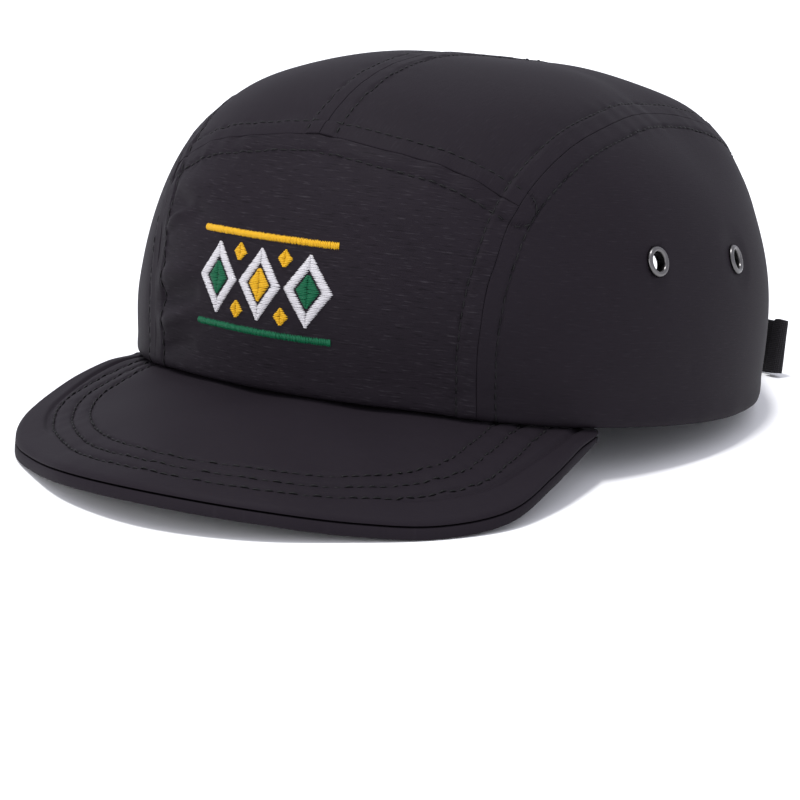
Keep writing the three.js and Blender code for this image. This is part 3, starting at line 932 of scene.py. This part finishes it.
brushed, tree, shader = new_material("brushed_band", (0.012, 0.011, 0.013), 0.85)
shader.inputs["Specular IOR Level"].default_value = 0.15
shader.inputs["Sheen Weight"].default_value = 0.15
ribs = noise(tree, 1.0, 3.0, (2.2, 0.5))
rib_shade = mixed(tree, ribs, (0.008, 0.0072, 0.0085), (0.019, 0.0175, 0.020))
tree.links.new(rib_shade, shader.inputs["Base Color"])
raised(tree, shader, ribs, 0.6, 0.00015)
sweat_band.data.materials.append(brushed)
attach(sweat_band, "root")
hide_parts("sweatband")

# Back strap, tab and slider
# A strap of narrow woven tape is sewn inside the opening's right corner, runs through a plastic
# slider and ends in a turned-over tail. A short loop of the same tape holds the slider.

tape_width, tape_wall, tab_wall, tape_lift = 16.0, 1.2, 1.0, 5.0
anchor_ease, bar_pitch, bar_width, bar_wall = 0.5, 11.0, 2.2, 2.0
slider_from_edge, tail_length, tail_stand = 6.0, 33.5, 1.5
tip_length, tip_rise, tip_lean = 12.0, 1.1, 0.08
tape_middle = tape_lift + tape_width / 2


def beside_rim(turn, stand):
    """A point seen from above: at a turn on the crown level with the tape's middle, moved out
    of the crown by the stand."""
    turns = np.array([turn - 0.005, turn, turn + 0.005])
    near = crown(towards(turns, np.full(3, tape_middle)))
    way = unit(near[2] - near[0])
    return near[1, :2] + stand * np.array([way[1], -way[0]])


tape_turn = float(arch_turn(math.asin((tape_lift + tape_width) / opening_height)))
slider_reach = slider_from_edge + bar_pitch + bar_width / 2
slider_turn = tape_turn + slider_reach / float(rim_radius(opening_turn))
slider_middle = beside_rim(slider_turn, 0)
slider_out = unit(beside_rim(slider_turn, 1) - slider_middle)
slider_right = np.array([-slider_out[1], slider_out[0]])


def beside_slider(left, out):
    """A point seen from above, so far towards the wearer's left of the slider's middle and so
    far outside it."""
    return slider_middle - left * slider_right + out * slider_out


anchor_stand = -(cloth_wall + band_gap + tape_wall / 2 + anchor_ease)
pass_stand = bar_wall / 2 + band_gap + tape_wall / 2 + anchor_ease
loop_radius = math.hypot(bar_wall, bar_width) / 2 + band_gap + tab_wall / 2
over_tab = loop_radius + tab_wall / 2 + band_gap + tape_wall / 2


def tape(name, stops, wall, steps, turned, droop):
    """A flat tape that stands upright along a path: at each even step its section, a flat
    rounded loop, is set square to the path. turned is how much its far end is rounded, and
    droop how far that end hangs down, where the very tip rises again a little and leans."""
    fine = through(stops, np.linspace(0, 1, 1500))
    far = reach(fine)
    ends = np.array([0, 0.05, 0.15, 0.35, 0.7, 1.2, 2.0])
    at = np.concatenate([
        ends, np.linspace(3, far[-1] - 13, steps), far[-1] - np.linspace(12.6, 2.4, 34),
        far[-1] - ends[::-1],
    ])
    line = places_at(at, far, fine)
    way = heading(at, far, fine, 0.3)
    out = np.column_stack([-way[:, 1], way[:, 0]])
    angle = np.linspace(0, 2 * math.pi, 44, endpoint=False)
    flat = np.sign(np.cos(angle)) * np.abs(np.cos(angle)) ** 0.12
    high = np.sign(np.sin(angle)) * np.abs(np.sin(angle)) ** 0.9
    high = np.clip(high * 1.02, -1, 1)
    thin = 1 - np.maximum(roll_off(at, 0.45), roll_off(far[-1] - at, 0.45)) / 0.45 * 0.55
    sides = wall / 2 * thin[:, None] * flat[None]
    tip = smooth_step((at - far[-1] + tip_length) / tip_length) * (droop > 0)
    sag = droop * smooth_step((at - far[-1] + tail_length) / (0.6 * tail_length)) - tip_rise * tip
    upright = high[None] * (tape_width / 2 - roll_off(far[-1] - at, turned))[:, None]
    heights = tape_middle - sag[:, None] + upright
    lean = -tip_lean * tip[:, None] * upright
    level = line[:, None] + out[:, None] * sides[..., None] + way[:, None] * lean[..., None]
    points = np.concatenate([level, heights[..., None]], -1)
    corner = np.arange(heights.size).reshape(heights.shape)
    faces = quads_over(np.pad(corner, ((0, 0), (0, 1)), "wrap")).tolist()
    faces += [corner[0].tolist(), corner[-1][::-1].tolist()]
    uv = np.stack(np.broadcast_arrays(at[:, None], heights), -1).reshape(-1, 2)
    return made_piece(name, points, faces, uv, True)


right_edge = math.pi - tape_turn
beside_bar = bar_width / 2 + band_gap
tail_end, tail_out = bar_pitch + tail_length, over_tab + tail_stand
strap_stops = [beside_rim(turn, stand) for turn, stand in (
    (math.pi - opening_turn + anchor_angle, anchor_stand),
    (math.pi - opening_turn, anchor_stand),
    (right_edge, anchor_stand),
    (right_edge - 0.6 * anchor_angle, anchor_stand / 2),
    ((right_edge + math.pi / 2) / 2, 0),
)] + [beside_slider(left, out) for left, out in (
    (-bar_pitch - 3 * beside_bar, pass_stand * 0.9),
    (-bar_pitch - beside_bar, pass_stand),
    (-bar_pitch + beside_bar, pass_stand),
    (-beside_bar, -pass_stand),
    (beside_bar, -pass_stand),
    (bar_pitch - beside_bar, over_tab),
    (bar_pitch + beside_bar, over_tab),
    (bar_pitch + tail_length / 2, tail_out),
    (tail_end - 1.5, tail_out),
    (tail_end - 0.6, tail_out - 0.9),
    (tail_end - 1.5, tail_out - 1.8),
    (tail_end - 4.5, tail_out - 2.2),
)]
inner_stand = anchor_stand - tab_wall - band_gap
tab_turns = (opening_turn - anchor_angle, opening_turn, tape_turn)
tab_loop = ((1, 0.75), (0, 1.05), (-0.8, 0.7), (-1.1, 0), (-0.8, -0.7), (0, -1))
tab_stops = (
    [beside_rim(turn, anchor_stand) for turn in tab_turns]
    + [beside_slider(bar_pitch + left * loop_radius, out * loop_radius) for left, out in tab_loop]
    + [beside_rim(turn, inner_stand) for turn in tab_turns[::-1]]
)
woven, tree, shader = new_material("woven_tape", (0.012, 0.011, 0.0125), 0.7)
shader.inputs["Specular IOR Level"].default_value = 0.2
crossing = add_node(tree, "ShaderNodeMath", operation="MULTIPLY")
for number, (way, scale) in enumerate((("Y", 0.55), ("X", 0.7))):
    yarns = add_node(tree, "ShaderNodeTexWave", wave_type="BANDS", bands_direction=way,
                     Scale=scale, Distortion=0.6, Detail=1.0)
    cloth_map = add_node(tree, "ShaderNodeUVMap", uv_map="cloth")
    tree.links.new(cloth_map.outputs[0], yarns.inputs["Vector"])
    tree.links.new(yarns.outputs["Fac"], crossing.inputs[number])
weave = crossing.outputs[0]
weave_shade = mixed(tree, weave, (0.0075, 0.0066, 0.0078), (0.028, 0.025, 0.029))
tree.links.new(weave_shade, shader.inputs["Base Color"])
raised(tree, shader, weave, 0.7, 0.00018)
for name, node, stops, wall, steps, turned, droop in (
    ("back_strap", "strap", strap_stops, tape_wall, 160, 1.2, 4.3),
    ("slider_tab", "strap_tab", tab_stops, tab_wall, 76, 0.0, 0.0),
):
    piece = tape(name, stops, wall, steps, turned, droop)
    piece.data.materials.append(woven)
    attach(piece, "root")
    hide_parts(node)

slider_cast = bpy.data.objects.new("slider_cast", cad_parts["slider"].data.copy())
scene.collection.objects.link(slider_cast)
body = bmesh.new()
body.from_mesh(slider_cast.data)
bmesh.ops.remove_doubles(body, verts=body.verts, dist=1e-6)
bmesh.ops.dissolve_limit(body, angle_limit=0.02, verts=body.verts, edges=body.edges)
body.to_mesh(slider_cast.data)
body.free()
rounding = slider_cast.modifiers.new("rounding", "BEVEL")
rounding.width = 0.00045
rounding.segments = 3
rounding.limit_method = "ANGLE"
plastic, tree, shader = new_material("moulded_plastic", (0.010, 0.010, 0.011), 0.38)
grain = noise(tree, 2600.0, 2.0)
tree.links.new(ranged(tree, grain, To_Min=0.3, To_Max=0.5), shader.inputs["Roughness"])
raised(tree, shader, grain, 0.3, 0.00005)
slider_cast.data.materials.clear()
slider_cast.data.materials.append(plastic)
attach(slider_cast, "root")
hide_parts("slider")

# Embroidery
# A small patch of satin stitch on the front panel: a row of lozenges between two narrow bars,
# in yellow, white and green thread.

def on_front(x, z):
    """The crown's outer face where the front panel stands at x and z, and the way out of it.
    The turn is found by a few rounds of asking what turn gives this x at this height."""
    def face(x, z):
        turn = np.full(np.shape(x), -math.pi / 2)
        shift = top_shift * (z / crown_height) ** 2
        for _ in range(8):
            point = crown(towards(turn, z))
            radius = np.maximum(np.hypot(point[..., 0], point[..., 1] + shift), 1)
            turn = -math.pi / 2 + np.arcsin(np.clip(x / radius, -0.99, 0.99))
        return crown(towards(turn, z))
    centre = face(x, z)
    across, up = face(x + 0.5, z) - face(x - 0.5, z), face(x, z + 0.5) - face(x, z - 0.5)
    out = unit(np.cross(across, up))
    height = soft_relief(centre, front_folds, front_unevenness) * smooth_step(z / 3.0)
    return centre + out * height[..., None], out


def satin(ends):
    """Threads from one list of places to another on the front panel, given by x and z."""
    ends = np.asarray(ends, float)
    start, out_a = on_front(ends[:, 0], ends[:, 1])
    stop, out_b = on_front(ends[:, 2], ends[:, 3])
    middle, way = (start + stop) / 2, stop - start
    return middle, unit(way), unit(out_a + out_b), np.linalg.norm(way, axis=1)


strand, strand_radius, strand_lift, strand_sink = 0.42, 0.26, 0.3, 0.02
dice = np.random.default_rng(41)


def bar(x0, x1, z0, z1):
    """Upright threads side by side that fill an oblong."""
    x = np.arange(x0, x1, strand)
    return np.column_stack([x, np.full_like(x, z0), x, np.full_like(x, z1)])


def lozenge(x, z, wide, high, hole_wide=0.0, hole_high=0.0):
    """Level threads that fill a diamond, or the frame between it and a smaller diamond."""
    rows = np.arange(z - high / 2 + strand / 2, z + high / 2, strand)
    half = wide / 2 * (1 - np.abs(rows - z) / (high / 2))
    hole = np.maximum(hole_wide / 2 * (1 - np.abs(rows - z) / max(hole_high / 2, 1e-6)), 0)
    right = np.column_stack([x + hole - 0.15, rows, x + half, rows])
    left = np.column_stack([x - half, rows, x - hole + 0.15, rows])
    parts = np.concatenate([left, right])
    return parts[parts[:, 2] - parts[:, 0] > 0.5]


motif_x, motif_z, motif_half, motif_pitch = -6.0, 26.5, 20.0, 13.6
bar_near, bar_far, small_rise = 10.9, 12.6, 7.1
frame_size, heart_size, small_size = (13.0, 18.4, 7.6, 10.8), (6.4, 9.0), (4.4, 4.8)
bar_x = motif_x - motif_half, motif_x + motif_half
yellow_ends = [bar(*bar_x, motif_z + bar_near, motif_z + bar_far)]
green_ends = [bar(*bar_x, motif_z - bar_far, motif_z - bar_near)]
white_ends = []
for k in (-1, 0, 1):
    middle = motif_x + motif_pitch * k
    white_ends += [lozenge(middle, motif_z, *frame_size)]
    (green_ends if k else yellow_ends).append(lozenge(middle, motif_z, *heart_size))
for k in (-1, 1):
    for level in (-1, 1):
        middle = motif_x + motif_pitch / 2 * k
        yellow_ends += [lozenge(middle, motif_z + small_rise * level, *small_size)]
for words, ends, colour in (
    ("yellow", yellow_ends, (0.62, 0.345, 0.010)),
    ("white", white_ends, (0.56, 0.545, 0.56)),
    ("green", green_ends, (0.003, 0.095, 0.040)),
):
    ends = np.concatenate(ends)
    ends = ends + dice.uniform(-0.08, 0.08, ends.shape)
    places, ways, outs, lengths = satin(ends)
    radii = strand_radius * dice.uniform(0.9, 1.15, len(places))
    piece = thread_runs(f"embroidery_{words}", places, ways, outs, lengths, radii,
                        strand_lift, strand_sink, 7, 6)
    piece.data.materials.append(thread_material(f"{words}_thread", colour, 0.5))
    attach(piece, "root")

# Table and light
# A plain white table under a soft sun almost overhead, an even sky, and a low lamp in front, a
# little to the left.

mesh = bpy.data.meshes.new("floor")
mesh.from_pydata([(-3, -3, 0), (3, -3, 0), (3, 3, 0), (-3, 3, 0)], [], [(0, 1, 2, 3)])
floor = bpy.data.objects.new("floor", mesh)
scene.collection.objects.link(floor)
paper, tree, shader = new_material("paper", (0.93, 0.93, 0.93), 0.9)
shader.inputs["Specular IOR Level"].default_value = 0.0
mesh.materials.append(paper)

world = bpy.data.worlds.new("white_room")
world.use_nodes = True
world.node_tree.nodes["Background"].inputs[0].default_value = (0.97, 0.98, 1.08, 1.0)
world.node_tree.nodes["Background"].inputs[1].default_value = 0.95
scene.world = world


def lamp(name, kind, place, size, power):
    """A soft lamp that faces the cap: a square one, or a sun with its width as an angle."""
    light = bpy.data.lights.new(name, kind)
    if kind == "SUN":
        light.angle = size
    else:
        light.size = size
    light.energy = power
    made = bpy.data.objects.new(name, light)
    back = unit(np.array(place) - np.array([0.0, 0.0, 0.04]))
    right = unit(np.cross([0.0, 0.0, 1.0], back))
    made.matrix_world = Matrix(np.vstack([
        np.column_stack([right, np.cross(back, right), back, place]), [0, 0, 0, 1.0]]).tolist())
    scene.collection.objects.link(made)


lamp("high_sun", "SUN", (-0.1, -0.12, 1.03), math.radians(9), 2.1)
lamp("front_lamp", "AREA", (-0.25, -0.95, 0.18), 0.6, 3.2)

scene.view_settings.view_transform = "Standard"
scene.view_settings.look = "None"
